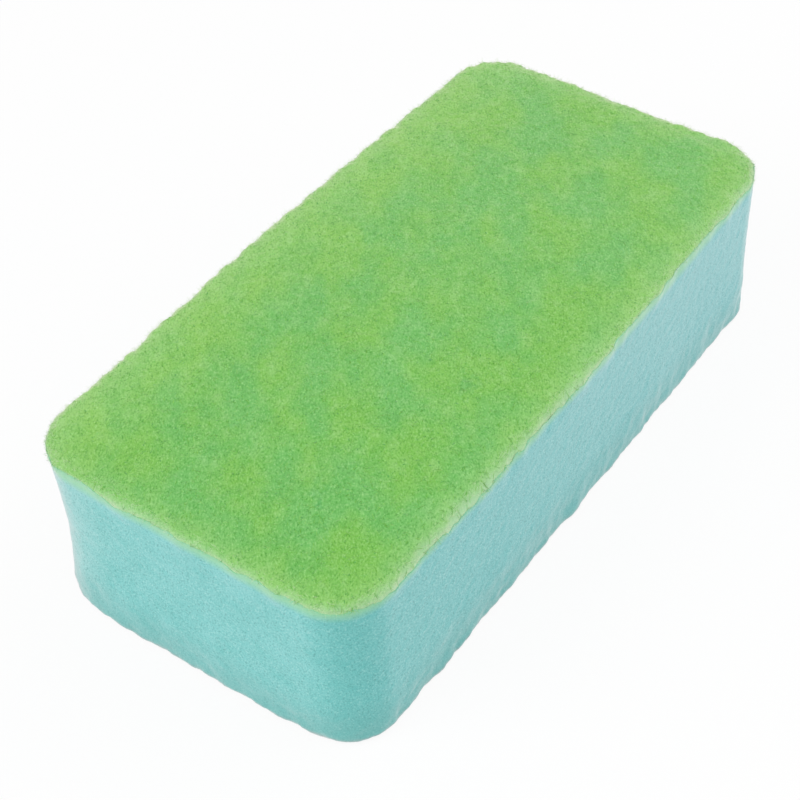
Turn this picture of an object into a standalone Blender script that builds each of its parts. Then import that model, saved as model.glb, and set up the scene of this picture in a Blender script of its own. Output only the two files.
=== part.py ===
"""Two-layer cleaning sponge: a die-cut foam block with a nonwoven scrubbing pad bonded to its upper face.

Metres, +Z up. The origin is at the middle of the underside, the length runs along X and the width along Y.
"""

import math

import bmesh
import bpy
from mathutils import Vector

# Plan outline, shared by both layers because one die cuts them in one stroke
LENGTH = 0.120
WIDTH = 0.0590  # at the ends of the long sides, beside the corners
CORNER_RADIUS = 0.0090
LONG_SIDE_BOW = 0.0008  # how far the middle of a long side stands out from its ends

# Foam block
FOAM_HEIGHT = 0.0286
FOAM_SET_BACK = 0.0002  # the foam's upper edge lies this far inside the pad's edge
FOAM_FOOT_SPREAD = 0.0004  # the foot spreads past the pad's edge
FOAM_FOOT_BOW = 0.0  # only the bonded face is drawn out into a bow: the foot stays straight
FOAM_WAIST = 0.0003  # squeezed foam springs back hollow after the die has passed
FOAM_FOOT_RADIUS = 0.0012

# Scrubbing pad
PAD_THICKNESS = 0.0021
PAD_UPPER_RADIUS = 0.0014
PAD_LOWER_RADIUS = 0.0003
BOND_GAP = 0.0003  # room for the film of adhesive between the two layers

# The cut sides wander a little, most at the foam's foot and least where the pad holds them
FOAM_RIPPLE = 0.00028
PAD_RIPPLE = 0.00012
RIPPLE_PITCHES = (0.0190, 0.0110, 0.0068)
RIPPLE_HELD_SHARE = 0.35  # what is left of the foam's ripple at the bond

# Fineness of the mesh
POINT_SPACING = 0.0021
CORNER_STEPS = 8
FOAM_SIDE_STEPS = 6
EDGE_STEPS = 3

COLLECTION_NAME = "sponge"


def clear_scene():
    """Remove every object of the open scene."""
    for thing in list(bpy.data.objects):
        bpy.data.objects.remove(thing, do_unlink=True)


def arc(centre, radius, start_deg, end_deg, steps):
    """Points on a circular arc, both ends included."""
    turn = math.radians(end_deg - start_deg) / steps
    start = math.radians(start_deg)
    return [
        centre + radius * Vector((math.cos(start + turn * i), math.sin(start + turn * i)))
        for i in range(steps + 1)
    ]


def plan_quarter(offset, bow):
    """The outline from the middle of the +Y side to the middle of the +X side, grown by offset."""
    radius = CORNER_RADIUS + offset
    half_length = LENGTH / 2 + offset
    half_width = WIDTH / 2 + offset
    corner = Vector((half_length - radius, half_width - radius))
    long_steps = round((LENGTH / 2 - CORNER_RADIUS) / POINT_SPACING)
    short_steps = round((WIDTH / 2 - CORNER_RADIUS) / POINT_SPACING)
    long_side = []
    for i in range(long_steps):
        share = i / long_steps
        long_side.append(Vector((corner.x * share, half_width + bow * (1 - share**2))))
    short_side = [Vector((half_length, corner.y * (1 - i / short_steps))) for i in range(1, short_steps)]
    return long_side + arc(corner, radius, 90, 0, CORNER_STEPS) + short_side


def plan_outline(offset, bow):
    """The whole closed outline, clockwise from above, as the quarter and its three mirror images."""
    quarter = plan_quarter(offset, bow)
    end = Vector((LENGTH / 2 + offset, 0))
    half = quarter + [end] + [Vector((p.x, -p.y)) for p in quarter[:0:-1]]
    return half + [Vector((-p.x, -p.y)) for p in half]


def ripple(outline, depth):
    """How far each point of the outline is pushed outwards: three waves of unlike pitch."""
    ends = outline[1:] + outline[:1]
    runs = [(b - a).length for a, b in zip(outline, ends)]
    perimeter = sum(runs)
    pushes = []
    travelled = 0.0
    for run in runs:
        push = 0.0
        for order, pitch in enumerate(RIPPLE_PITCHES):
            waves = round(perimeter / pitch)
            push += math.sin(2 * math.pi * waves * travelled / perimeter + 2.1 * order)
        pushes.append(depth * push / len(RIPPLE_PITCHES))
        travelled += run
    return pushes


def outward(outline, i):
    """Unit normal of the outline at point i, pointing away from the block."""
    along = outline[(i + 1) % len(outline)] - outline[i - 1]
    return Vector((-along.y, along.x)).normalized()


def section(height, offset, bow, ripple_depth):
    """One horizontal section of a layer, as points in space."""
    outline = plan_outline(offset, bow)
    pushes = ripple(outline, ripple_depth)
    places = []
    for i, push in enumerate(pushes):
        place = outline[i] + outward(outline, i) * push
        places.append(Vector((place.x, place.y, height)))
    return places


def lofted_solid(name, sections):
    """A closed mesh that runs through the sections, from the lowest to the highest."""
    shape = bmesh.new()
    underside = shape.faces.new([shape.verts.new(place) for place in sections[0]])
    cap = underside
    for places in sections[1:]:
        grown = bmesh.ops.extrude_face_region(shape, geom=[cap])
        if cap is not underside:
            shape.faces.remove(cap)
        cap = next(part for part in grown["geom"] if isinstance(part, bmesh.types.BMFace))
        for vert, place in zip(cap.verts, places):
            vert.co = place
    bmesh.ops.recalc_face_normals(shape, faces=shape.faces)
    mesh = bpy.data.meshes.new(name)
    shape.to_mesh(mesh)
    shape.free()
    mesh.shade_smooth()
    mesh.set_sharp_from_angle(angle=math.radians(35))
    return mesh


def foam_sections():
    """Sections of the foam: a rounded foot, then a side that is hollow at mid height."""
    sections = []
    for i in range(EDGE_STEPS):
        angle = math.pi / 2 * i / EDGE_STEPS
        height = FOAM_FOOT_RADIUS * (1 - math.cos(angle))
        offset = FOAM_FOOT_SPREAD - FOAM_FOOT_RADIUS * (1 - math.sin(angle))
        sections.append(section(height, offset, FOAM_FOOT_BOW, FOAM_RIPPLE))
    side_height = FOAM_HEIGHT - FOAM_FOOT_RADIUS
    for i in range(FOAM_SIDE_STEPS + 1):
        share = i / FOAM_SIDE_STEPS
        height = FOAM_FOOT_RADIUS + side_height * share
        lean = FOAM_FOOT_SPREAD * (1 - share) - FOAM_SET_BACK * share
        hollow = FOAM_WAIST * 4 * share * (1 - share)
        bow = FOAM_FOOT_BOW * (1 - share) + LONG_SIDE_BOW * share
        loose = 1 - (1 - RIPPLE_HELD_SHARE) * share
        sections.append(section(height, lean - hollow, bow, FOAM_RIPPLE * loose))
    return sections


def pad_sections():
    """Sections of the pad: a crisp lower edge and a well-rounded upper one."""
    sections = []
    for i in range(EDGE_STEPS):
        angle = math.pi / 2 * i / EDGE_STEPS
        height = PAD_LOWER_RADIUS * (1 - math.cos(angle))
        offset = -PAD_LOWER_RADIUS * (1 - math.sin(angle))
        sections.append(section(height, offset, LONG_SIDE_BOW, PAD_RIPPLE))
    sections.append(section(PAD_LOWER_RADIUS, 0.0, LONG_SIDE_BOW, PAD_RIPPLE))
    for i in range(EDGE_STEPS + 1):
        angle = math.pi / 2 * i / EDGE_STEPS
        height = PAD_THICKNESS - PAD_UPPER_RADIUS * (1 - math.sin(angle))
        offset = -PAD_UPPER_RADIUS * (1 - math.cos(angle))
        sections.append(section(height, offset, LONG_SIDE_BOW, PAD_RIPPLE))
    return sections


def matt_material(name, colour, roughness):
    """A plain Principled material with no metal in it."""
    material = bpy.data.materials.new(name)
    material.use_nodes = True
    shader = material.node_tree.nodes["Principled BSDF"]
    shader.inputs["Base Color"].default_value = (*colour, 1.0)
    shader.inputs["Roughness"].default_value = roughness
    shader.inputs["Metallic"].default_value = 0.0
    return material


def place(name, mesh, material, height, parent, collection):
    """Put a layer into the scene at the given height above the underside."""
    layer = bpy.data.objects.new(name, mesh)
    layer.data.materials.append(material)
    layer.location = (0.0, 0.0, height)
    layer.parent = parent
    collection.objects.link(layer)
    return layer


def main():
    """Build both layers under one empty."""
    clear_scene()
    collection = bpy.data.collections.new(COLLECTION_NAME)
    bpy.context.scene.collection.children.link(collection)
    base = bpy.data.objects.new("sponge_base", None)
    collection.objects.link(base)

    aqua_foam = matt_material("polyurethane_foam_aqua", (0.27, 0.57, 0.56), 0.95)
    green_fibre = matt_material("nonwoven_fibre_green", (0.24, 0.56, 0.14), 0.9)

    foam_mesh = lofted_solid("foam_block", foam_sections())
    place("foam_block", foam_mesh, aqua_foam, 0.0, base, collection)
    pad_mesh = lofted_solid("scrub_pad", pad_sections())
    place("scrub_pad", pad_mesh, green_fibre, FOAM_HEIGHT + BOND_GAP, base, collection)


main()
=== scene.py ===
"""Looks of a two-layer cleaning sponge: felted nonwoven pad on a block of fine-celled foam.

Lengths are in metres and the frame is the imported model's: origin under the middle, +Z up.
"""

import itertools
import logging
import math
from dataclasses import dataclass, field
from enum import Enum

import bpy
import numpy as np
from mathutils import Matrix, Vector


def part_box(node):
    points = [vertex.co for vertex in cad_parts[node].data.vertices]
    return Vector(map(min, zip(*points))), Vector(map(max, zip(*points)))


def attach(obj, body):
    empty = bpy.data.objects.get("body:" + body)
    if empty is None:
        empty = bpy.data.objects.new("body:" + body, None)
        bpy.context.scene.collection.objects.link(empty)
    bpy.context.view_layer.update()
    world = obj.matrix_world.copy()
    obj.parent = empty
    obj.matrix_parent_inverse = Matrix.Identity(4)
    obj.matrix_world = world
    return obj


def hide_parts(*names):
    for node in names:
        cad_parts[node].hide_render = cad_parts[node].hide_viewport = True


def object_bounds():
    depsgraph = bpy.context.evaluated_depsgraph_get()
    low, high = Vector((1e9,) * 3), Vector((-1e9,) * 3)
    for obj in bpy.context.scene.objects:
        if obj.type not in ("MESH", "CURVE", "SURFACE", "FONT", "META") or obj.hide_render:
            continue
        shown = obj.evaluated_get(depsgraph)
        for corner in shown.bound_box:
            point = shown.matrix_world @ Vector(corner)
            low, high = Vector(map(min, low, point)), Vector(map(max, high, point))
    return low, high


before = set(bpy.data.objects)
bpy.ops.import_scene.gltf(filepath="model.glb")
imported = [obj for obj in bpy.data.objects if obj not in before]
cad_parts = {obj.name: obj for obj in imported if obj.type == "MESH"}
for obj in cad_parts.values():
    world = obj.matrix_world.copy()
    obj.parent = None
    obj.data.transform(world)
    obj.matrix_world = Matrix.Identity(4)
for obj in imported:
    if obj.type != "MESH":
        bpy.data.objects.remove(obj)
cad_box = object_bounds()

log = logging.getLogger("sponge")

MM = 0.001
BODY = "root"
WHITE = (1.0, 1.0, 1.0, 1.0)
FLAT = np.array([1.0, 1.0, 0.0])  # takes the height out of a point
SELDOM_ALONG = np.array([0.31, 0.17, 0.93])  # a direction that hardly any fibre has

# Sockets of Blender's Mix node when it mixes colours
MIX_FACTOR, MIX_FIRST, MIX_SECOND, MIX_RESULT = 0, 6, 7, 2

# Short names for type hints
Tree = bpy.types.NodeTree
Socket = bpy.types.NodeSocket


class Layer(Enum):
    """The two bonded layers, by the name of the solid that holds each one's place."""

    FOAM = "foam_block"
    PAD = "scrub_pad"


class Slot(Enum):
    """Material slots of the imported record."""

    FOAM = "aqua_foam"
    PAD = "green_fibre"


def linear(code: str) -> tuple[float, float, float, float]:
    """Turn an sRGB hex colour into the linear colour that a shader takes.

    Args:
        code: Colour such as "#85C46A".

    Returns:
        Red, green, blue and an alpha of 1.
    """
    parts = [int(code[i : i + 2], 16) / 255 for i in (1, 3, 5)]
    red, green, blue = (p / 12.92 if p <= 0.04045 else ((p + 0.055) / 1.055) ** 2.4 for p in parts)
    return red, green, blue, 1.0


def add_node(tree: Tree, kind: str, sockets: dict | None = None, **settings) -> bpy.types.Node:
    """Add a node with its settings, constants and incoming links.

    Args:
        tree: Node tree that gets the node.
        kind: Blender's name of the node type.
        sockets: Input name or number against a constant, or against the output that feeds it.
        **settings: Properties of the node itself.

    Returns:
        The new node.
    """
    node = tree.nodes.new(kind)
    for name, value in settings.items():
        setattr(node, name, value)
    for key, value in (sockets or {}).items():
        if isinstance(value, Socket):
            tree.links.new(value, node.inputs[key])
        else:
            node.inputs[key].default_value = value
    return node


def computed(tree: Tree, operation: str, *values: Socket | float, clamp: bool = False) -> Socket:
    """Build the result of a calculation with numbers."""
    node = add_node(tree, "ShaderNodeMath", dict(enumerate(values)), operation=operation, use_clamp=clamp)
    return node.outputs["Value"]


def vector_computed(tree: Tree, operation: str, *values: Socket | tuple, output: str = "Vector") -> Socket:
    """Build the result of a calculation with vectors."""
    node = add_node(tree, "ShaderNodeVectorMath", dict(enumerate(values)), operation=operation)
    return node.outputs[output]


def axes(tree: Tree, place: Socket) -> list[Socket]:
    """Build the X, Y and Z of a vector."""
    return list(add_node(tree, "ShaderNodeSeparateXYZ", {0: place}).outputs)


def noise(tree: Tree, place: Socket, pitch: float, detail: float, roughness: float = 0.5) -> Socket:
    """Build a noise around 0.5 with lumps about a pitch apart, and finer orders in them."""
    sockets = {"Vector": place, "Scale": 1 / pitch, "Detail": detail, "Roughness": roughness}
    return add_node(tree, "ShaderNodeTexNoise", sockets).outputs["Fac"]


def ramp(tree: Tree, value: Socket, low: float, high: float, top: float = 1.0) -> Socket:
    """Build a share that runs from 0 at the low value to top at the high one, which may be the smaller."""
    sockets = {"Value": value, "From Min": low, "From Max": high, "To Max": top}
    return add_node(tree, "ShaderNodeMapRange", sockets).outputs["Result"]


def mixed(tree: Tree, share: Socket, first: Socket | str, second: str) -> Socket:
    """Build a colour that goes from the first to the second as the share goes from 0 to 1.

    Args:
        tree: Node tree to build in.
        share: Output that holds the share.
        first: sRGB code, or the output that holds the colour.
        second: sRGB code.

    Returns:
        The output that holds the colour.
    """
    start = linear(first) if isinstance(first, str) else first
    sockets = {MIX_FACTOR: share, MIX_FIRST: start, MIX_SECOND: linear(second)}
    return add_node(tree, "ShaderNodeMix", sockets, data_type="RGBA").outputs[MIX_RESULT]


@dataclass(frozen=True)
class Tint:
    """A colour laid over another, and how strong it gets."""

    colour: str
    share: float = 1.0


def tinted(tree: Tree, colour: Socket, tint: Tint, value: Socket, low: float, high: float) -> Socket:
    """Build a colour that a tint covers more and more as the value runs from low to high."""
    return mixed(tree, ramp(tree, value, low, high, tint.share), colour, tint.colour)


@dataclass(frozen=True)
class Grain:
    """Colours of a fine grain: deep openings and pale raised fibres or struts."""

    deep: Tint
    pale: Tint
    hollow: tuple[float, float] = (0.47, 0.25)  # noise at which deep starts and is full
    raised: tuple[float, float] = (0.53, 0.75)  # noise at which pale starts and is full

    def over(self, tree: Tree, colour: Socket, value: Socket) -> Socket:
        """Take a colour towards deep where a noise is hollow, and towards pale where it stands up."""
        colour = tinted(tree, colour, self.deep, value, *self.hollow)
        return tinted(tree, colour, self.pale, value, *self.raised)


def stretched(tree: Tree, place: Socket, turn: float, dip: float, stretch: float) -> Socket:
    """Build coordinates in which a pattern comes out drawn along one direction.

    Args:
        tree: Node tree to build in.
        place: Output that holds the object's own coordinates.
        turn: Direction in plan, in degrees from +X.
        dip: How far the direction points down, in degrees.
        stretch: How many times longer than wide the pattern comes out.

    Returns:
        The output that holds the coordinates.
    """
    sockets = {
        "Vector": place,
        "Rotation": (0.0, math.radians(dip), math.radians(turn)),
        "Scale": (stretch, 1.0, 1.0),
    }
    return add_node(tree, "ShaderNodeMapping", sockets, vector_type="TEXTURE").outputs["Vector"]


@dataclass(frozen=True)
class Scatter:
    """How a matt surface of fibres or cells scatters light, with a sheen where it is seen edge on."""

    roughness: float
    specular: float
    sheen: float
    sheen_roughness: float

    def material(self, name: str) -> tuple[bpy.types.Material, Tree, bpy.types.Node]:
        """Start a material.

        Args:
            name: Name of the material.

        Returns:
            The material, its node tree and its shader.
        """
        made = bpy.data.materials.new(name)
        made.use_nodes = True
        shader = made.node_tree.nodes["Principled BSDF"]
        shader.inputs["Roughness"].default_value = self.roughness
        shader.inputs["Specular IOR Level"].default_value = self.specular
        shader.inputs["Sheen Weight"].default_value = self.sheen
        shader.inputs["Sheen Roughness"].default_value = self.sheen_roughness
        return made, made.node_tree, shader


@dataclass(frozen=True)
class Bump:
    """How strongly a pattern shows as a fine relief, and how deep a height of 1 is."""

    strength: float
    depth: float

    def raise_on(self, tree: Tree, shader: bpy.types.Node, height: Socket) -> None:
        """Give a shader the relief of a pattern."""
        sockets = {"Height": height, "Strength": self.strength, "Distance": self.depth}
        tree.links.new(add_node(tree, "ShaderNodeBump", sockets).outputs["Normal"], shader.inputs["Normal"])


def smooth_step(values: np.ndarray, low: float, high: float) -> np.ndarray:
    """Ease from 0 at low to 1 at high."""
    share = np.clip((values - low) / (high - low), 0.0, 1.0)
    return share * share * (3.0 - 2.0 * share)


class Field:
    """Smooth random field in space, from -1 to 1, the same on every run."""

    LATTICE = 64
    TILT = Matrix.Rotation(0.6, 3, "X") @ Matrix.Rotation(0.9, 3, "Y") @ Matrix.Rotation(0.4, 3, "Z")

    def __init__(self, pitch: float, seed: int) -> None:
        """Draw the lattice of random values, which lie one pitch apart."""
        self.pitch = pitch
        self.values = np.random.default_rng(seed).uniform(-1.0, 1.0, (self.LATTICE,) * 3)

    def __call__(self, points: np.ndarray) -> np.ndarray:
        """Read the field.

        Args:
            points: Places in space, one row each.

        Returns:
            One value for each place.
        """
        cells = points @ np.array(self.TILT) / self.pitch
        low = np.floor(cells).astype(int)
        share = cells - low
        share = share * share * (3.0 - 2.0 * share)
        total = np.zeros(len(points))
        for corner in itertools.product((0, 1), repeat=3):
            index = (low + corner) % self.LATTICE
            weight = np.where(corner, share, 1.0 - share).prod(axis=1)
            total += weight * self.values[index[:, 0], index[:, 1], index[:, 2]]
        return total


@dataclass(frozen=True)
class Lumps:
    """One order of unevenness."""

    pitch: float
    height: float  # above and below the mean
    seed: int


def uneven(points: np.ndarray, orders: tuple[Lumps, ...]) -> np.ndarray:
    """Add up orders of unevenness at each point."""
    return sum(Field(order.pitch, order.seed)(points) * order.height for order in orders)


# How far the cut through both layers strays outwards, and how far their bond rises and falls
DIE_WANDER = (Lumps(4.6 * MM, 0.24 * MM, 18), Lumps(2.2 * MM, 0.22 * MM, 14))
BOND_WANDER = (
    Lumps(6.0 * MM, 0.40 * MM, 19),
    Lumps(2.6 * MM, 0.55 * MM, 16),
    Lumps(1.2 * MM, 0.50 * MM, 17),
)
BOND_LIFT = 0.15 * MM
BOND_LOWEST, BOND_HIGHEST = -0.6 * MM, 0.65 * MM


def die_wander(points: np.ndarray) -> np.ndarray:
    """Give how far the cut strays outwards at each point, the same at every height."""
    return uneven(points * FLAT, DIE_WANDER)


def bond_rise(points: np.ndarray) -> np.ndarray:
    """Give how far the line between foam and pad lies above its plain height at each place in plan."""
    return np.clip(uneven(points * FLAT, BOND_WANDER) + BOND_LIFT, BOND_LOWEST, BOND_HIGHEST)


@dataclass(frozen=True)
class Plan:
    """Rounded rectangle whose long sides bow outwards."""

    half_length: float
    half_width: float  # beside the corners, where the bow has run out
    corner_radius: float = 9.0 * MM
    bow: float = 0.8 * MM  # how far the middle of a long side stands out

    @property
    def half(self) -> np.ndarray:
        """Half length and half width."""
        return np.array([self.half_length, self.half_width])

    @property
    def inner(self) -> np.ndarray:
        """Centre of the corner arc in the first quadrant."""
        return self.half - self.corner_radius

    def place(self, flat: np.ndarray, offset: float = 0.0, bowed: float = 1.0) -> np.ndarray:
        """Carry points of the plain rectangle over to the rounded, bowed one.

        Args:
            flat: Points of the rectangle, one row each.
            offset: How far the outline is grown outwards.
            bowed: Share of the bow that it has.

        Returns:
            The same points in the rounded plan.
        """
        size = np.abs(flat)
        share = np.clip((size - self.inner) / self.corner_radius, 0.0, 1.0)
        bent = share * np.sqrt(1.0 - share[:, ::-1] ** 2 / 2.0)
        placed = np.minimum(size, self.inner) + bent * (self.corner_radius + offset)
        along = np.clip(placed[:, 0] / self.inner[0], 0.0, 1.0)
        placed[:, 1] += self.bow * bowed * (1.0 - along**2) * size[:, 1] / self.half_width
        return np.where(flat < 0.0, -placed, placed)

    def rim_distance(self, places: np.ndarray) -> np.ndarray:
        """Measure how far inside the outline each point lies.

        Args:
            places: Points in plan or in space, one row each.

        Returns:
            Distances, negative outside the outline.
        """
        size = np.abs(places[:, :2])
        along = np.clip(size[:, 0] / self.inner[0], 0.0, 1.0)
        size[:, 1] -= self.bow * (1.0 - along**2)
        return self.corner_radius - np.linalg.norm(np.maximum(size - self.inner, 0.0), axis=1)

    def outward(self, places: np.ndarray) -> np.ndarray:
        """Find the direction in plan in which each point lies nearest to the outline.

        Args:
            places: Points in plan, one row each.

        Returns:
            Unit vectors, and zero in the middle, where no side is near.
        """
        here = self.rim_distance(places)
        step = 0.01 * MM
        slope = [here - self.rim_distance(places + step * axis) for axis in np.eye(2)]
        return np.column_stack(slope) / step


@dataclass(frozen=True)
class Row:
    """One level of a slab's side: how far out it lies, how high, and its share of the plan's bow."""

    offset: float
    height: float
    bowed: float = 1.0


@dataclass(frozen=True)
class Slab:
    """Closed block of quads on a rounded plan, with a fine side and caps of any fineness."""

    plan: Plan
    rows: list[Row]
    pitch: float
    top_step: int = 1
    bottom_step: int = 1

    def build(self, name: str) -> bpy.types.Object:
        """Make the block.

        Args:
            name: Name of the new object.

        Returns:
            The object, linked to the scene.
        """
        block = math.lcm(self.top_step, self.bottom_step)
        cells = [block * round(2 * half / self.pitch / block) for half in self.plan.half]
        xs, ys = (np.linspace(-half, half, count + 1) for half, count in zip(self.plan.half, cells))
        ring = self._ring(cells)
        ring_flat = np.array([(xs[i], ys[j]) for i, j in ring])
        count = len(ring)
        levels = [self._level(ring_flat, row) for row in self.rows]
        faces: list[tuple[int, ...]] = []
        for level in range(len(self.rows) - 1):
            base = level * count
            for i in range(count):
                j = (i + 1) % count
                faces.append((base + i, base + j, base + count + j, base + count + i))
        for step, row, base, up in (
            (self.bottom_step, self.rows[0], 0, False),
            (self.top_step, self.rows[-1], count * (len(self.rows) - 1), True),
        ):
            numbers = {place: base + i for i, place in enumerate(ring)}
            inside = [(i, j) for i in range(step, cells[0], step) for j in range(step, cells[1], step)]
            start = sum(len(level) for level in levels)
            numbers.update({place: start + i for i, place in enumerate(inside)})
            levels.append(self._level(np.array([(xs[i], ys[j]) for i, j in inside]), row))
            faces.extend(self._cap(numbers, cells, step, up))
        mesh = bpy.data.meshes.new(name)
        mesh.from_pydata(np.concatenate(levels).tolist(), [], faces)
        mesh.shade_smooth()
        return put(name, mesh)

    @staticmethod
    def _ring(cells: list[int]) -> list[tuple[int, int]]:
        """List the grid places along the rectangle's edge.

        Args:
            cells: Number of grid cells along X and along Y.

        Returns:
            The places, anticlockwise from above.
        """
        across, deep = cells
        south = [(i, 0) for i in range(across)]
        east = [(across, j) for j in range(deep)]
        north = [(i, deep) for i in range(across, 0, -1)]
        west = [(0, j) for j in range(deep, 0, -1)]
        return south + east + north + west

    def _level(self, flat: np.ndarray, row: Row) -> np.ndarray:
        """Place rectangle points at one level of the side."""
        plan = self.plan.place(flat, row.offset, row.bowed)
        return np.column_stack([plan, np.full(len(plan), row.height)])

    @staticmethod
    def _cap(numbers: dict, cells: list[int], step: int, up: bool) -> list[tuple[int, ...]]:
        """List a cap's faces; a coarse cap takes in every point of the fine edge that it meets.

        Args:
            numbers: Number of the mesh's point at each grid place that has one.
            cells: Number of grid cells along X and along Y.
            step: How many cells a face is wide.
            up: Whether the cap faces up.

        Returns:
            The faces, each as the numbers of its points.
        """
        faces = []
        for i in range(0, cells[0], step):
            for j in range(0, cells[1], step):
                south = [(i + k, j) for k in range(step)]
                east = [(i + step, j + k) for k in range(step)]
                north = [(i + step - k, j + step) for k in range(step)]
                west = [(i, j + step - k) for k in range(step)]
                loop = [numbers[place] for place in south + east + north + west if place in numbers]
                faces.append(tuple(loop if up else loop[::-1]))
        return faces


def put(name: str, data: bpy.types.ID) -> bpy.types.Object:
    """Put a new object into the scene.

    Args:
        name: Name of the object.
        data: Its mesh, light or camera.

    Returns:
        The object.
    """
    thing = bpy.data.objects.new(name, data)
    bpy.context.scene.collection.objects.link(thing)
    return thing


def read_points(mesh: bpy.types.Mesh) -> tuple[np.ndarray, np.ndarray]:
    """Read a mesh's points and their normals.

    Args:
        mesh: The mesh.

    Returns:
        Points and normals, one row each.
    """
    points = np.empty(len(mesh.vertices) * 3, np.float32)
    mesh.vertices.foreach_get("co", points)
    normals = np.empty(len(mesh.vertices) * 3, np.float32)
    mesh.vertex_normals.foreach_get("vector", normals)
    return points.reshape(-1, 3).astype(float), normals.reshape(-1, 3).astype(float)


def write_points(mesh: bpy.types.Mesh, points: np.ndarray) -> None:
    """Write a mesh's points back."""
    mesh.vertices.foreach_set("co", points.astype(np.float32).ravel())
    mesh.update()


def strands(name: str, paths: np.ndarray, radii: np.ndarray, shades: np.ndarray) -> bpy.types.Object:
    """Make many three-sided fibres as one mesh.

    Args:
        name: Name of the new object.
        paths: Centre lines, as fibre by point by coordinate.
        radii: Radius at each point of each fibre.
        shades: One number for each fibre, which its material reads as "shade".

    Returns:
        The object, linked to the scene.
    """
    fibres, knots, _ = paths.shape
    along = np.gradient(paths, axis=1)
    along /= np.linalg.norm(along, axis=2, keepdims=True)
    aside = np.cross(along, SELDOM_ALONG)
    aside /= np.linalg.norm(aside, axis=2, keepdims=True)
    above = np.cross(along, aside)
    angles = np.radians([90.0, 210.0, 330.0])
    spokes = np.cos(angles)[:, None] * aside[:, :, None] + np.sin(angles)[:, None] * above[:, :, None]
    points = paths[:, :, None] + spokes * radii[:, :, None, None]
    numbers = np.arange(fibres * knots * 3).reshape(fibres, knots, 3)
    turned = np.roll(numbers, -1, axis=2)
    quads = np.stack([numbers[:, :-1], turned[:, :-1], turned[:, 1:], numbers[:, 1:]], axis=-1)
    quads = quads.reshape(-1, 4)
    ends = np.concatenate([numbers[:, 0, ::-1], numbers[:, -1]])
    mesh = bpy.data.meshes.new(name)
    mesh.from_pydata(points.reshape(-1, 3).tolist(), [], quads.tolist() + ends.tolist())
    mesh.shade_smooth()
    shade = mesh.attributes.new("shade", "FLOAT", "POINT")
    shade.data.foreach_set("value", np.repeat(shades, knots * 3).astype(np.float32))
    return put(name, mesh)


@dataclass(frozen=True)
class Swell:
    """A place where the soft layers were cut or squeezed out of true, in or out."""

    place: tuple[float, float]
    reach: float
    heading: tuple[float, float] = (0.0, 0.0)  # unit vector in plan
    foot: float = 0.0  # how far the underside's edge moves along the heading
    waist: float = 0.0
    pad: float = 0.0
    lift: float = 0.0  # how far the bond between the layers rises, which leaves the pad thinner

    def move(self, points: np.ndarray, low: float, bond: float, high: float) -> np.ndarray:
        """Give how far each point moves.

        Args:
            points: Points, one row each.
            low: Height of the underside.
            bond: Height of the bond between the layers.
            high: Height of the pad's upper face.

        Returns:
            Moves, one row each.
        """
        near = np.exp(-((np.linalg.norm(points[:, :2] - self.place, axis=1) / self.reach) ** 2))
        heights = (low, (low + bond) / 2, bond)
        push = near * np.interp(points[:, 2], heights, (self.foot, self.waist, self.pad))
        rise = near * np.interp(points[:, 2], (low, bond, high), (0.0, self.lift, 0.0))
        return np.column_stack([push * self.heading[0], push * self.heading[1], rise])


SWELLS = (
    Swell(
        (-57 * MM, 27 * MM),
        11 * MM,
        (-0.87, 0.5),
        foot=-0.6 * MM,
        waist=-0.9 * MM,
        pad=-0.2 * MM,
        lift=0.9 * MM,
    ),
    Swell((-33 * MM, -30 * MM), 14 * MM, lift=-1.0 * MM),
    Swell((26 * MM, -30 * MM), 17 * MM, lift=1.0 * MM),
    Swell((-60 * MM, -12 * MM), 16 * MM, lift=0.45 * MM),
    Swell((-8 * MM, -30 * MM), 6 * MM, lift=-0.45 * MM),
    Swell((8 * MM, -30 * MM), 6 * MM, lift=0.5 * MM),
    Swell((-60 * MM, 18 * MM), 6 * MM, lift=0.6 * MM),
    Swell((-42 * MM, 30 * MM), 10 * MM, (0.0, 1.0), pad=-0.25 * MM),
    Swell((38 * MM, 30 * MM), 16 * MM, (0.0, 1.0), waist=-0.2 * MM, pad=-0.4 * MM),
    Swell((60 * MM, -16 * MM), 14 * MM, (1.0, 0.0), waist=-0.3 * MM, pad=-0.6 * MM),
    Swell((-60 * MM, 12 * MM), 11 * MM, (-1.0, 0.0), foot=0.6 * MM, waist=0.1 * MM),
)


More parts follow.
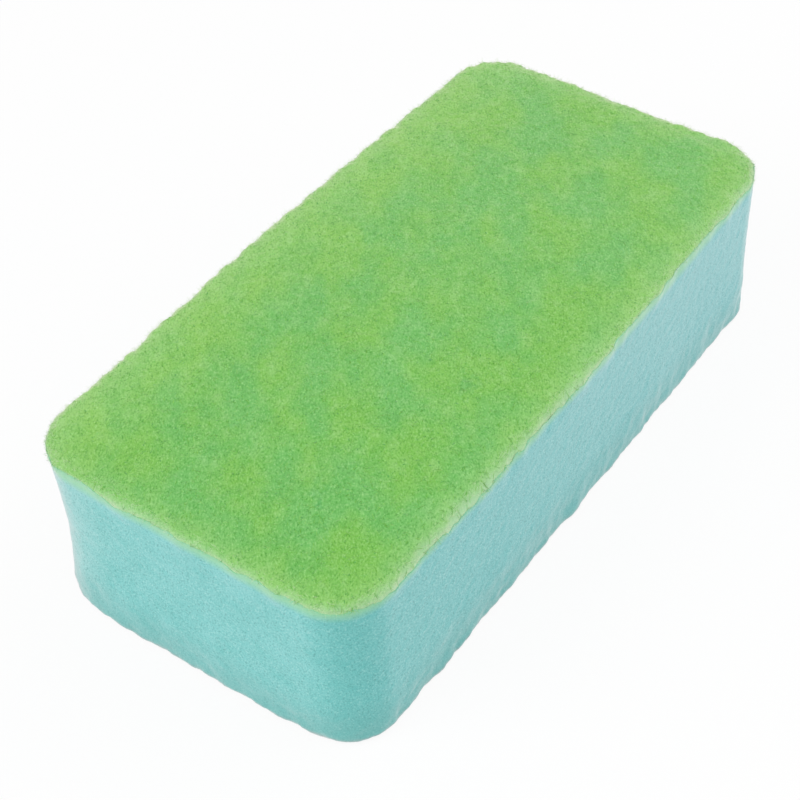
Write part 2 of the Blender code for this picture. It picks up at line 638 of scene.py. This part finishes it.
@dataclass(frozen=True)
class FoamFinish:
    """Open-cell polyurethane foam, dyed in the mass and cut with a die: matt, with fine cells."""

    pale: str = "#80D0CD"
    deep: str = "#74C9C5"
    patch: float = 6.0 * MM  # the dye drifts over this distance
    patch_range: tuple[float, float] = (0.35, 0.65)  # noise that gives the deep colour and the pale one
    minus_y_shade: Tint = Tint("#69C3C1", 0.8)  # painted shade: deeper colour on the -Y side
    minus_y_shade_depth: float = 6.0 * MM
    plus_x_light: Tint = Tint("#7EC5C9", 0.8)  # painted light: paler towards +X
    plus_y_sheen: Tint = Tint("#A2D4D2")  # painted sheen: paler towards +Y, where the far side turns away
    plus_y_sheen_start: float = 14.0 * MM
    plus_y_sheen_full: float = 3.0 * MM
    corner: str = "#66C4BE"  # painted shade: deeper colour round the two -Y corners
    grain: Grain = Grain(Tint("#2E8682", 0.66), Tint("#C4ECE8", 0.50))
    bond: Tint = Tint("#98D8A2", 0.8)  # pad fibres are pressed into the top of the foam
    bond_depth: float = 1.7 * MM
    foot: Tint = Tint("#7EB6B2", 0.6)  # painted shade: darker and greyer towards the underside
    low_shade_depth: float = 9.0 * MM
    low_edge_sheen: Tint = Tint("#BCB6B6", 0.9)  # painted sheen: pale grey on the lowest edge of the side
    low_edge_sheen_depth: float = 1.4 * MM
    side_slopes: tuple[float, float] = (-0.98, -0.85)  # Z of the normals where underside turns into side
    cell: float = 0.27 * MM
    bump: Bump = Bump(0.3, 0.15 * MM)
    rise_turn: float = 37.0  # degrees from +X in plan: the foam rose aslant as the line carried it along
    rise_dip: float = 45.0
    rise_stretch: float = 3.0
    scatter: Scatter = Scatter(roughness=0.95, specular=0.15, sheen=1.0, sheen_roughness=0.39)

    def corner_shade_share(self, tree: Tree, x: Socket, y: Socket, plan: Plan) -> Socket:
        """Build the share of the corners' painted shade, which is 0 on the flat sides and grows round the
        two -Y corners.

        Args:
            tree: Node tree to build in.
            x: Output that holds the place along the block.
            y: Output that holds the place across the block.
            plan: Outline of the block.

        Returns:
            The output that holds the share.
        """
        inner, outer = plan.inner, plan.half
        across = ramp(tree, computed(tree, "ABSOLUTE", x), inner[0], outer[0])
        return computed(tree, "MULTIPLY", across, ramp(tree, y, -inner[1], -outer[1]))

    def low_edge_sheen_share(self, tree: Tree, z: Socket, low: float) -> Socket:
        """Build the share of painted sheen, a pale grey band on the lowest edge of the side and not on the
        underside.

        Args:
            tree: Node tree to build in.
            z: Output that holds the height.
            low: Height of the underside.

        Returns:
            The output that holds the share.
        """
        facing = add_node(tree, "ShaderNodeNewGeometry").outputs["Normal"]
        sides = ramp(tree, axes(tree, facing)[2], *self.side_slopes)
        lowest = ramp(tree, z, low + self.low_edge_sheen_depth, low, self.low_edge_sheen.share)
        return computed(tree, "MULTIPLY", lowest, sides)

    def material(self, plan: Plan, low: float, high: float) -> bpy.types.Material:
        """Make the foam's material: drifting dye, painted shade and painted light on some sides and edges,
        dark pores and a cellular bump.

        Args:
            plan: Outline of the block.
            low: Height of the underside.
            high: Height of the bond with the pad.

        Returns:
            The material.
        """
        made, tree, shader = self.scatter.material("polyurethane_foam_die_cut")
        place = add_node(tree, "ShaderNodeTexCoord").outputs["Object"]
        x, y, z = axes(tree, place)
        length, width = plan.half
        drift = ramp(tree, noise(tree, place, self.patch, 3.0, 0.6), *self.patch_range)
        body = mixed(tree, drift, self.deep, self.pale)
        # Painted shade: deeper colour on the -Y side
        body = tinted(tree, body, self.minus_y_shade, y, self.minus_y_shade_depth - width, -width)
        # Painted light: paler towards the +X end
        body = tinted(tree, body, self.plus_x_light, x, -length, length)
        # Painted sheen: paler towards +Y
        body = tinted(tree, body, self.plus_y_sheen, y, width - self.plus_y_sheen_start, width - self.plus_y_sheen_full)
        # Painted shade: deeper colour round the two -Y corners
        body = mixed(tree, self.corner_shade_share(tree, x, y, plan), body, self.corner)
        risen = stretched(tree, place, self.rise_turn, self.rise_dip, self.rise_stretch)
        grain = noise(tree, risen, self.cell, 2.0, 0.7)
        body = self.grain.over(tree, body, grain)
        body = tinted(tree, body, self.bond, z, high - self.bond_depth, high)
        # Painted shade: darker and greyer towards the underside
        body = tinted(tree, body, self.foot, z, low + self.low_shade_depth, low)
        # Painted sheen: a pale grey band on the lowest edge of the side
        body = mixed(tree, self.low_edge_sheen_share(tree, z, low), body, self.low_edge_sheen.colour)
        cells = add_node(tree, "ShaderNodeTexVoronoi", {"Vector": risen, "Scale": 1 / self.cell})
        open_cells = computed(tree, "MULTIPLY", cells.outputs["Distance"], grain)
        tree.links.new(body, shader.inputs["Base Color"])
        self.bump.raise_on(tree, shader, open_cells)
        return made


@dataclass(frozen=True)
class FeltFinish:
    """Needled nonwoven of crimped polyester fibres, spun-dyed in two greens that blend in patches."""

    yellow: str = "#79C44B"
    mint: str = "#6AC05C"
    patch: float = 8.0 * MM
    patch_range: tuple[float, float] = (0.39, 0.61)  # noise that gives mint and yellow
    tuft: Tint = Tint("#4CB47A", 0.5)  # where a wisp of the bluer fibre wasn't carded out
    wisp: float = 10.0 * MM
    wisp_range: tuple[float, float] = (0.62, 0.76)
    felt_plus_y_sheen: Tint = Tint("#A2DA68", 0.5)  # painted sheen: paler towards +Y, the far side
    felt_plus_y_sheen_start: float = 14.0 * MM
    # the cut edge is paler; the band is also partly painted sheen, where the rounded edge is seen edge on
    rim: str = "#9CD57C"
    rim_width: float = 7.0 * MM
    rim_shift: tuple[float, float] = (0.6 * MM, 0.0)  # the edge colour reaches further in at the +X end
    rim_power: float = 2.3
    mat: Grain = Grain(Tint("#2C9A10", 0.18), Tint("#B8EAA8", 0.18))  # fibres pressed flat or in tufts
    matting: float = 2.0 * MM
    grain: Grain = Grain(Tint("#208C00", 0.80), Tint("#B2EE98", 0.54))
    web: float = 0.28 * MM
    bump: Bump = Bump(0.4, 0.2 * MM)
    cut: Tint = Tint("#B4E2B6", 0.85)  # the die crushes the lowest fibres pale
    cut_height: float = 1.7 * MM
    haze: str = "#FFF9E4"  # light caught in the nap where it is seen edge on
    lay: float = 37.0  # degrees from +X: the direction in which the cross-lapper laid most fibres
    lay_stretch: float = 1.6
    scatter: Scatter = Scatter(roughness=0.95, specular=0.15, sheen=1.0, sheen_roughness=0.5)

    def rim_share(self, tree: Tree, place: Socket, plan: Plan) -> Socket:
        """Build the share of edge colour, from 1 at the cut edge to 0 further in.

        Args:
            tree: Node tree to build in.
            place: Output that holds the object's own coordinates.
            plan: Outline of the pad.

        Returns:
            The output that holds the share.
        """
        moved = vector_computed(tree, "ADD", place, (*self.rim_shift, 0.0))
        x, y, _ = axes(tree, vector_computed(tree, "ABSOLUTE", moved))
        along = computed(tree, "DIVIDE", x, plan.inner[0], clamp=True)
        inward = computed(tree, "MULTIPLY_ADD", computed(tree, "POWER", along, 2.0), plan.bow, -plan.bow)
        unbowed = add_node(tree, "ShaderNodeCombineXYZ", {"X": x, "Y": computed(tree, "ADD", y, inward)})
        beyond = vector_computed(tree, "SUBTRACT", unbowed.outputs["Vector"], (*plan.inner, 0.0))
        outer = vector_computed(tree, "MAXIMUM", beyond, (0.0, 0.0, 0.0))
        reach = vector_computed(tree, "LENGTH", outer, output="Value")
        share = ramp(tree, reach, plan.corner_radius - self.rim_width, plan.corner_radius)
        return computed(tree, "POWER", share, self.rim_power)

    def material(self, plan: Plan, low: float) -> bpy.types.Material:
        """Make the pad's material: blended greens, open web, a paler cut edge that is partly painted sheen,
        painted sheen towards +Y and a fibrous bump.

        Args:
            plan: Outline of the pad.
            low: Height of the pad's lower face.

        Returns:
            The material.
        """
        made, tree, shader = self.scatter.material("nonwoven_polyester_felt")
        place = add_node(tree, "ShaderNodeTexCoord").outputs["Object"]
        laid = stretched(tree, place, self.lay, 0.0, self.lay_stretch)
        _, y, z = axes(tree, place)
        blend = ramp(tree, noise(tree, laid, self.patch, 2.0, 0.6), *self.patch_range)
        body = mixed(tree, blend, self.mint, self.yellow)
        body = tinted(tree, body, self.tuft, noise(tree, laid, self.wisp, 5.0, 0.7), *self.wisp_range)
        # Painted sheen: paler towards +Y, the far side
        body = tinted(tree, body, self.felt_plus_y_sheen, y, self.felt_plus_y_sheen_start, plan.half_width)
        # Paler cut edge, partly painted sheen where the rounded edge is seen edge on
        body = mixed(tree, self.rim_share(tree, place, plan), body, self.rim)
        body = self.mat.over(tree, body, noise(tree, laid, self.matting, 2.0))
        web = noise(tree, laid, self.web, 2.0, 0.7)
        body = self.grain.over(tree, body, web)
        body = tinted(tree, body, self.cut, z, low + self.cut_height, low)
        tree.links.new(body, shader.inputs["Base Color"])
        self.bump.raise_on(tree, shader, web)
        shader.inputs["Sheen Tint"].default_value = linear(self.haze)
        return made


@dataclass(frozen=True)
class StrandFinish:
    """Single crimped polyester fibre: smooth, slightly see-through, so paler than the felt below it."""

    name: str
    dark: str
    light: str
    scatter: Scatter = Scatter(roughness=0.7, specular=0.2, sheen=0.45, sheen_roughness=0.4)

    def material(self) -> bpy.types.Material:
        """Make the material, which runs from dark to light by each fibre's shade.

        Returns:
            The material.
        """
        made, tree, shader = self.scatter.material(self.name)
        shade = add_node(tree, "ShaderNodeAttribute", attribute_name="shade").outputs["Fac"]
        tree.links.new(mixed(tree, shade, self.dark, self.light), shader.inputs["Base Color"])
        return made


@dataclass(frozen=True)
class Nap:
    """One kind of loose fibre lying on the pad."""

    name: str
    finish: StrandFinish
    seed: int
    count: int = 7000
    lengths: tuple[float, float] = (0.6 * MM, 1.5 * MM)
    radius: float = 0.03 * MM
    lift: float = 0.04 * MM  # how far the middle of a fibre may stand above the felt


@dataclass(frozen=True)
class Fringe:
    """One band of short fibre ends standing out of the pad's edge."""

    name: str
    finish: StrandFinish
    seed: int
    count: int
    length: float  # of most fibres; a few are twice as long
    lowest: float  # -1 at the bond, 0 where the shoulder starts
    highest: float  # radians up the shoulder's arc


@dataclass
class FoamBlock:
    """The thick aqua layer, with a hollow side, a spread foot and a cut surface of fine cells."""

    plan: Plan
    low: float
    high: float
    set_back: float = 0.10 * MM
    lip: float = 0.12 * MM  # bevel where the cut foam turns in under the pad
    foot_spread: float = 0.4 * MM
    foot_radius: float = 1.2 * MM
    foot_steps: int = 4
    waist: float = 0.3 * MM
    pitch: float = 0.44 * MM
    cap_step: int = 6  # the face under the pad is that much coarser than the side
    wander: tuple[Lumps, ...] = (Lumps(13.0 * MM, 0.30 * MM, 3),)
    wander_rise: float = 0.35  # how fast it changes with height, against along the side
    held: float = 0.85  # share of the wander that the pad takes away at the bond
    die_start: float = 0.88  # share of the height from which the side follows the pad's cut
    bond_start: float = 0.92  # share of the height from which it follows the bond up and down
    cells_end: float = 0.94  # share of the height from which the open cells fade out
    crease: float = 40.0  # degrees; a sharper edge is shaded as an edge
    scallops: tuple[Lumps, ...] = (
        Lumps(4.0 * MM, 0.36 * MM, 4),
        Lumps(1.9 * MM, 0.22 * MM, 7),
        Lumps(0.9 * MM, 0.12 * MM, 8),
    )
    scallop_fall: int = 5  # the higher, the closer they keep to the foot
    cells: tuple[Lumps, ...] = (Lumps(0.9 * MM, 0.04 * MM, 5), Lumps(0.5 * MM, 0.03 * MM, 6))
    cell_depth: float = 0.03 * MM  # the open cells' mean level lies that far inside the plain form
    finish: FoamFinish = field(default_factory=FoamFinish)

    def rows(self) -> list[Row]:
        """List the levels of the side.

        Returns:
            The levels, from the underside to the bond.
        """
        rows = []
        for i in range(self.foot_steps):
            angle = math.pi / 2 * i / self.foot_steps
            offset = self.foot_spread - self.foot_radius * (1 - math.sin(angle))
            rows.append(Row(offset, self.low + self.foot_radius * (1 - math.cos(angle)), 0.0))
        side = self.high - self.low - self.foot_radius
        levels = round(side / self.pitch)
        for i in range(levels + 1):
            share = i / levels
            lean = self.foot_spread * (1 - share) - self.set_back * share
            hollow = self.waist * 4 * share * (1 - share)
            rows.append(Row(lean - hollow, self.low + self.foot_radius + side * share, share))
        rows.append(Row(-self.set_back - self.lip, self.high + self.lip))
        return rows

    def roughen(self, mesh: bpy.types.Mesh) -> None:
        """Push the cut surface in and out: a slow wander of the die, torn skins and cells.

        Args:
            mesh: The block's mesh, which is changed.
        """
        points, normals = read_points(mesh)
        share = np.clip((points[:, 2] - self.low) / (self.high - self.low), 0.0, 1.0)
        upright = points * np.array([1.0, 1.0, self.wander_rise])
        cut = uneven(upright, self.wander) * (1.0 - self.held * share)
        cut += uneven(points, self.scallops) * (1.0 - share) ** self.scallop_fall
        cut += die_wander(points) * smooth_step(share, self.die_start, 1.0)
        cells = uneven(points, self.cells) - self.cell_depth
        cells *= 1.0 - smooth_step(share, self.cells_end, 1.0)
        points += normals * FLAT * cut[:, None] + normals * cells[:, None]
        points[:, 2] = np.clip(points[:, 2], self.low, self.high + self.lip)
        edge = smooth_step(-self.plan.rim_distance(points), -1.5 * MM, -0.5 * MM)
        points[:, 2] += bond_rise(points) * smooth_step(share, self.bond_start, 1.0) * edge
        write_points(mesh, points)

    def build(self) -> list[bpy.types.Object]:
        """Build and dress the block.

        Returns:
            Its one piece.
        """
        block = Slab(self.plan, self.rows(), self.pitch, top_step=self.cap_step).build("foam_cut_block")
        self.roughen(block.data)
        block.data.set_sharp_from_angle(angle=math.radians(self.crease))
        block.data.materials.append(self.finish.material(self.plan, self.low, self.high))
        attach(block, BODY)
        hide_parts(Layer.FOAM.value)
        return [block]


@dataclass
class ScrubPad:
    """The thin green layer: a felted slab, loose fibres lying on it and a fringe round its cut edge."""

    plan: Plan
    low: float
    high: float
    upper_radius: float = 1.4 * MM
    set_back: float = 0.17 * MM
    wall_start: float = 0.8  # share of the set-back at the foot of the wall
    wall_lean: float = 0.05  # share of the set-back that each level of the wall adds
    tuck: float = 0.8 * MM  # how far the edge runs on down behind the foam's uneven top
    tuck_depth: float = 0.5 * MM  # how far in its lowest level lies
    wall_steps: int = 4
    shoulder_steps: int = 8
    pinch: float = 0.5 * MM  # how far the die presses the rim of the upper face down
    pinch_width: float = 5.0 * MM
    pitch: float = 0.36 * MM
    cap_step: int = 6  # the face on the foam is that much coarser than the upper one
    lumps: tuple[Lumps, ...] = (Lumps(5.5 * MM, 0.07 * MM, 11), Lumps(0.9 * MM, 0.05 * MM, 12))
    fuzz: tuple[Lumps, ...] = (Lumps(0.45 * MM, 0.05 * MM, 13),)  # twice as strong at the rim
    felt_depth: float = 0.12 * MM  # the web's mean level lies that far below its plain form
    frayed: tuple[Lumps, ...] = (Lumps(1.3 * MM, 0.32 * MM, 15),)
    frayed_width: float = 3.0 * MM  # from the edge inwards
    wall_relief: float = 0.35  # share of the relief on the straight part of the edge
    shoulder_heights: tuple[float, float] = (0.4 * MM, 1.8 * MM)  # above the bond: relief grows to full
    crimp: float = 0.45  # radians by which a loose fibre turns from knot to knot
    sunk: float = 0.03 * MM  # how deep the ends of a loose fibre lie in the felt
    felt: FeltFinish = field(default_factory=FeltFinish)
    naps: tuple[Nap, ...] = (
        Nap("pad_nap_yellow_fibres", StrandFinish("polyester_fibre_yellow_green", "#74BC34", "#9CE068"), 21),
        Nap("pad_nap_mint_fibres", StrandFinish("polyester_fibre_mint", "#66BC42", "#92E078"), 22),
        Nap(
            "pad_dark_flecks",
            StrandFinish("polyester_fibre_matted", "#46A84C", "#6CB85A"),
            23,
            count=800,
            lengths=(0.3 * MM, 0.7 * MM),
            radius=0.06 * MM,
            lift=0.02 * MM,
        ),
    )
    fringes: tuple[Fringe, ...] = (
        Fringe(
            "pad_fringe_shoulder",
            StrandFinish("polyester_fibre_shoulder", "#BEE69C", "#E6F5CE"),
            31,
            count=6500,
            length=0.50 * MM,
            lowest=0.0,
            highest=1.5,
        ),
        Fringe(
            "pad_fringe_bond",
            StrandFinish("polyester_fibre_cut_end", "#A0D896", "#C4E8B8"),
            32,
            count=9000,
            length=0.30 * MM,
            lowest=-0.65,
            highest=0.3,
        ),
    )
    end_radii: tuple[float, float] = (0.020 * MM, 0.010 * MM)  # of a fringe fibre, root and tip
    end_depth: float = 0.10 * MM  # how deep its root lies in the felt
    droop: float = -0.35  # by which its direction turns down
    strays: tuple[float, float] = (0.8, 0.4)  # spread of its direction, along the edge and up or down

    @property
    def wall(self) -> float:
        """Height of the straight part of the edge."""
        return self.high - self.upper_radius - self.low

    def rows(self) -> list[Row]:
        """List the levels of the edge.

        Returns:
            The levels, from the bond to the upper face.
        """
        rows = []
        for i in range(self.wall_steps):
            offset = -self.set_back * (self.wall_start + self.wall_lean * i) if i else -self.tuck_depth
            height = self.low - self.tuck + (self.wall + self.tuck) * i / self.wall_steps
            rows.append(Row(offset, height))
        for i in range(self.shoulder_steps + 1):
            angle = math.pi / 2 * i / self.shoulder_steps
            offset = -self.set_back - self.upper_radius * (1 - math.cos(angle))
            rows.append(Row(offset, self.high - self.upper_radius * (1 - math.sin(angle))))
        return rows

    def relief(self, points: np.ndarray) -> np.ndarray:
        """Give how far the felt stands proud of its plain form: lumps, an open web and a ragged edge.

        Args:
            points: Points on the plain form, one row each.

        Returns:
            Heights, one for each point.
        """
        near_rim = smooth_step(-self.plan.rim_distance(points), -self.frayed_width, 0.0)
        shoulder = smooth_step(points[:, 2] - self.low, *self.shoulder_heights)
        strength = self.wall_relief + (1.0 - self.wall_relief) * shoulder
        web = uneven(points, self.lumps) + uneven(points, self.fuzz) * (1.0 + near_rim)
        ragged = die_wander(points) + uneven(points, self.frayed) * shoulder
        return (web - self.felt_depth) * strength + ragged * near_rim

    def pinched(self, points: np.ndarray, places: np.ndarray) -> np.ndarray:
        """Press points down towards the rim, most at the top of the pad and not at all at the bond.

        Args:
            points: Points to press, one row each.
            places: Where each one lay before it was roughened.

        Returns:
            The pressed points.
        """
        outer = np.clip(1.0 - self.plan.rim_distance(places) / self.pinch_width, 0.0, 1.0)
        share = np.clip((points[:, 2] - self.low) / (self.high - self.low), 0.0, 1.0)
        points[:, 2] -= self.pinch * outer**2 * share
        return points

    def surface(self, places: np.ndarray) -> np.ndarray:
        """Give points of the upper face, which is rounded down towards the rim.

        Args:
            places: Places in plan, one row each.

        Returns:
            The points over them, one row each.
        """
        inside = np.clip(self.plan.rim_distance(places) - self.set_back, 0.0, self.upper_radius)
        run = self.upper_radius - inside
        rise = np.sqrt(self.upper_radius**2 - run**2)
        points = np.column_stack([places, self.high - self.upper_radius + rise])
        normals = np.column_stack([self.plan.outward(places) * run[:, None], rise])
        lifted = points + normals / self.upper_radius * self.relief(points)[:, None]
        return self.pinched(lifted, places)

    def roughen(self, mesh: bpy.types.Mesh) -> None:
        """Give the felt its relief, and leave its lower face flat.

        Args:
            mesh: The felt's mesh, which is changed.
        """
        points, normals = read_points(mesh)
        free = smooth_step(normals[:, 2], -0.95, -0.6)
        moved = points + normals * (self.relief(points) * free)[:, None]
        write_points(mesh, self.pinched(moved, points))

    def lay(self, nap: Nap) -> bpy.types.Object:
        """Lay crimped fibres over the upper face, their ends sunk in the felt.

        Args:
            nap: Which fibres.

        Returns:
            The fibres as one object.
        """
        chance = np.random.default_rng(nap.seed)
        count, knots = nap.count, 4
        roots = self.plan.place(chance.uniform(-1.0, 1.0, (count, 2)) * self.plan.half)
        length = chance.uniform(*nap.lengths, count)
        spin = chance.uniform(0.0, 2 * math.pi, count)
        heading = np.arctan2(np.sin(spin), self.felt.lay_stretch * np.cos(spin))
        heading += math.radians(self.felt.lay)
        turns = np.cumsum(chance.normal(0.0, self.crimp, (count, knots)), axis=1) + heading[:, None]
        steps = np.stack([np.cos(turns), np.sin(turns)], axis=-1) * (length / (knots - 1))[:, None, None]
        steps[:, 0] = 0.0
        plan = roots[:, None] + np.cumsum(steps, axis=1)
        plan -= (plan.mean(axis=1) - roots)[:, None]
        paths = self.surface(plan.reshape(-1, 2)).reshape(count, knots, 3)
        arch = np.sin(math.pi * np.linspace(0.0, 1.0, knots)) * chance.uniform(0.2, 1.0, count)[:, None]
        paths[:, :, 2] += arch * (nap.lift + self.sunk) - self.sunk
        radii = np.full((count, knots), nap.radius)
        radii[:, [0, -1]] /= 2
        return strands(nap.name, paths, radii, chance.uniform(0.0, 1.0, count))

    def stand(self, fringe: Fringe) -> bpy.types.Object:
        """Stand short cut fibre ends round one band of the edge.

        Args:
            fringe: Which band.

        Returns:
            The fibres as one object.
        """
        chance = np.random.default_rng(fringe.seed)
        count = fringe.count
        walk = chance.uniform(0.0, 4 * self.plan.half.sum(), count)
        base = self.plan.place(self.edge_points(walk))
        along = self.plan.place(self.edge_points(walk + 0.2 * MM)) - base
        along /= np.linalg.norm(along, axis=1, keepdims=True)
        outward = np.column_stack([along[:, 1], -along[:, 0]])
        level = chance.uniform(fringe.lowest, fringe.highest, count)
        angle = np.maximum(level, 0.0)
        depth = -np.minimum(level, 0.0)
        height = self.low + self.wall * (1 - depth) + self.upper_radius * np.sin(angle)
        inside = self.set_back + self.upper_radius * (1 - np.cos(angle))
        root = np.column_stack([base - outward * inside[:, None], height])
        push = np.column_stack([outward * np.cos(angle)[:, None], np.sin(angle)])
        rise = bond_rise(root) * depth
        root = self.pinched(root + push * (self.relief(root) - self.end_depth)[:, None], root)
        root[:, 2] += rise
        push[:, :2] += along * chance.normal(0.0, self.strays[0], count)[:, None]
        push[:, 2] += chance.normal(self.droop, self.strays[1], count)
        push /= np.linalg.norm(push, axis=1, keepdims=True)
        length = fringe.length * chance.gamma(4.0, 0.25, count).clip(0.2, 2.0)
        paths = np.stack([root, root + push * length[:, None]], axis=1)
        radii = np.tile(self.end_radii, (count, 1))
        ends = strands(fringe.name, paths, radii, chance.uniform(0.0, 1.0, count))
        # Clear fibres thinner than a hair pass on nearly all the light that they catch
        ends.visible_shadow = False
        ends.visible_diffuse = False
        return ends

    def edge_points(self, walk: np.ndarray) -> np.ndarray:
        """Find rectangle points by how far round its edge they lie, anticlockwise.

        Args:
            walk: Distances from the corner at -X, -Y.

        Returns:
            Points on the rectangle's edge, one row each.
        """
        half_length, half_width = self.plan.half
        stops = np.cumsum([0.0, half_length, half_width, half_length, half_width]) * 2
        xs = np.array([-1.0, 1.0, 1.0, -1.0, -1.0]) * half_length
        ys = np.array([-1.0, -1.0, 1.0, 1.0, -1.0]) * half_width
        turn = np.mod(walk, stops[-1])
        return np.column_stack([np.interp(turn, stops, xs), np.interp(turn, stops, ys)])

    def build(self) -> list[bpy.types.Object]:
        """Build and dress the felt, its loose fibres and its fringes.

        Returns:
            The pieces, the felt first.
        """
        felt = Slab(self.plan, self.rows(), self.pitch, bottom_step=self.cap_step).build("pad_felt")
        self.roughen(felt.data)
        felt.data.materials.append(self.felt.material(self.plan, self.low))
        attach(felt, BODY)
        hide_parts(Layer.PAD.value)
        loose = [(self.lay(nap), nap.finish) for nap in self.naps]
        loose += [(self.stand(fringe), fringe.finish) for fringe in self.fringes]
        for fibres, finish in loose:
            fibres.data.materials.append(finish.material())
            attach(fibres, BODY)
        return [felt] + [fibres for fibres, _ in loose]


@dataclass(frozen=True)
class Lamp:
    """One soft box."""

    name: str
    azimuth: float  # degrees, 0 in front of the -Y side, growing towards +X
    elevation: float
    share: float  # what it adds to the brightness of a white card that faces it
    distance: float = 0.9
    size: float = 0.7

    def build(self, aim: Vector) -> None:
        """Hang the lamp.

        Args:
            aim: Point that it faces.
        """
        turn, rise = math.radians(self.azimuth), math.radians(self.elevation)
        away = Vector((math.sin(turn) * math.cos(rise), -math.cos(turn) * math.cos(rise), math.sin(rise)))
        light = bpy.data.lights.new(self.name, "AREA")
        light.shape = "DISK"
        light.size = self.size
        light.energy = self.share * math.pi**2 * self.distance**2
        thing = put(self.name, light)
        thing.location = aim + away * self.distance
        thing.rotation_euler = away.to_track_quat("Z", "Y").to_euler()


@dataclass
class Studio:
    """White floor, soft light and the camera."""

    camera_place: tuple[float, float, float] = (-166.62 * MM, -119.26 * MM, 208.89 * MM)
    camera_aim: tuple[float, float, float] = (-9.75 * MM, -1.29 * MM, 15.0 * MM)
    camera_roll: float = -2.479  # degrees
    focal_share: float = 1750.4 / 800  # focal length over picture width
    sensor: float = 36.0
    nearest: float = 0.01
    world_share: float = 0.56
    floor_white: str = "#FDFDFD"
    floor_half: float = 3.0
    floor_drop: float = 0.05 * MM  # how far the floor lies below the sponge
    shadow_share: float = 0.1  # how much of the shadow on the floor the camera sees
    lamps: tuple[Lamp, ...] = (
        Lamp("softbox_left", azimuth=-120, elevation=34, share=0.345),
        Lamp("softbox_right", azimuth=48, elevation=34, share=0.38, distance=0.5),
        Lamp("softbox_front", azimuth=-50, elevation=65, share=0.12),
    )

    def camera(self) -> None:
        """Set up the camera from its place, aim and roll."""
        place, aim = Vector(self.camera_place), Vector(self.camera_aim)
        back = (place - aim).normalized()
        level = Vector((0.0, 0.0, 1.0)).cross(back).normalized()
        rise = back.cross(level)
        roll = math.radians(self.camera_roll)
        right = level * math.cos(roll) + rise * math.sin(roll)
        up = back.cross(right)
        lens = bpy.data.cameras.new("camera")
        lens.sensor_width = self.sensor
        lens.lens = self.focal_share * self.sensor
        lens.clip_start = self.nearest
        thing = put("camera", lens)
        thing.matrix_world = Matrix.Translation(place) @ Matrix((right, up, back)).transposed().to_4x4()
        bpy.context.scene.camera = thing

    def seen_directly(self, tree: Tree) -> Socket:
        """Build an output that is 1 for what the camera sees, directly, in a gloss or through glass.

        Args:
            tree: Node tree to build in.

        Returns:
            The output.
        """
        ray = add_node(tree, "ShaderNodeLightPath").outputs
        shiny = computed(tree, "MAXIMUM", ray["Is Glossy Ray"], ray["Is Transmission Ray"])
        return computed(tree, "MAXIMUM", ray["Is Camera Ray"], shiny)

    def world(self) -> None:
        """Surround the scene with even light that is plain white where the camera sees it."""
        world = bpy.data.worlds.new("studio")
        world.use_nodes = True
        tree = world.node_tree
        tree.nodes.clear()
        lit = add_node(tree, "ShaderNodeBackground", {"Color": WHITE, "Strength": self.world_share})
        white = add_node(tree, "ShaderNodeBackground", {"Color": WHITE, "Strength": 1.0})
        sockets = {0: self.seen_directly(tree), 1: lit.outputs["Background"], 2: white.outputs["Background"]}
        both = add_node(tree, "ShaderNodeMixShader", sockets)
        add_node(tree, "ShaderNodeOutputWorld", {"Surface": both.outputs["Shader"]})
        bpy.context.scene.world = world

    def floor(self) -> bpy.types.Object:
        """Lay the floor: a matt white sheet that shows as white, with a faint shadow on it.

        Returns:
            The sheet.
        """
        mesh = bpy.data.meshes.new("floor")
        half = self.floor_half
        corners = [(-half, -half, 0.0), (half, -half, 0.0), (half, half, 0.0), (-half, half, 0.0)]
        mesh.from_pydata(corners, [], [(0, 1, 2, 3)])
        sheet = put("floor", mesh)
        sheet.location.z = cad_box[0][2] - self.floor_drop
        made = bpy.data.materials.new("paper_sweep_white")
        made.use_nodes = True
        tree = made.node_tree
        tree.nodes.clear()
        paper = add_node(tree, "ShaderNodeBsdfDiffuse", {"Color": linear(self.floor_white)}).outputs["BSDF"]
        white = add_node(tree, "ShaderNodeEmission", {"Color": WHITE, "Strength": 1.0}).outputs["Emission"]
        share = computed(tree, "MULTIPLY", self.seen_directly(tree), 1.0 - self.shadow_share)
        both = add_node(tree, "ShaderNodeMixShader", {0: share, 1: paper, 2: white})
        add_node(tree, "ShaderNodeOutputMaterial", {"Surface": both.outputs["Shader"]})
        mesh.materials.append(made)
        return sheet

    def build(self) -> None:
        """Set up everything round the sponge."""
        self.camera()
        self.world()
        for lamp in self.lamps:
            lamp.build(Vector(self.camera_aim))
        self.floor()
        bpy.context.scene.view_settings.view_transform = "Standard"


def main() -> None:
    """Build the sponge and its studio."""
    logging.basicConfig(level=logging.INFO, format="%(name)s: %(message)s")
    foam_low, foam_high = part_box(Layer.FOAM.value)
    pad_low, pad_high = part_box(Layer.PAD.value)
    half_length = (pad_high.x - pad_low.x) / 2
    half_width = (pad_high.y - pad_low.y) / 2 - Plan.bow
    plan = Plan(half_length, half_width)
    pieces = FoamBlock(plan, foam_low.z, pad_low.z).build()
    pieces += ScrubPad(plan, pad_low.z, pad_high.z).build()
    for piece in pieces:
        points, _ = read_points(piece.data)
        moves = sum(swell.move(points, foam_low.z, pad_low.z, pad_high.z) for swell in SWELLS)
        write_points(piece.data, points + moves)
        log.info("%s: %d faces", piece.name, len(piece.data.polygons))
    Studio().build()


if __name__ == "__main__":
    main()
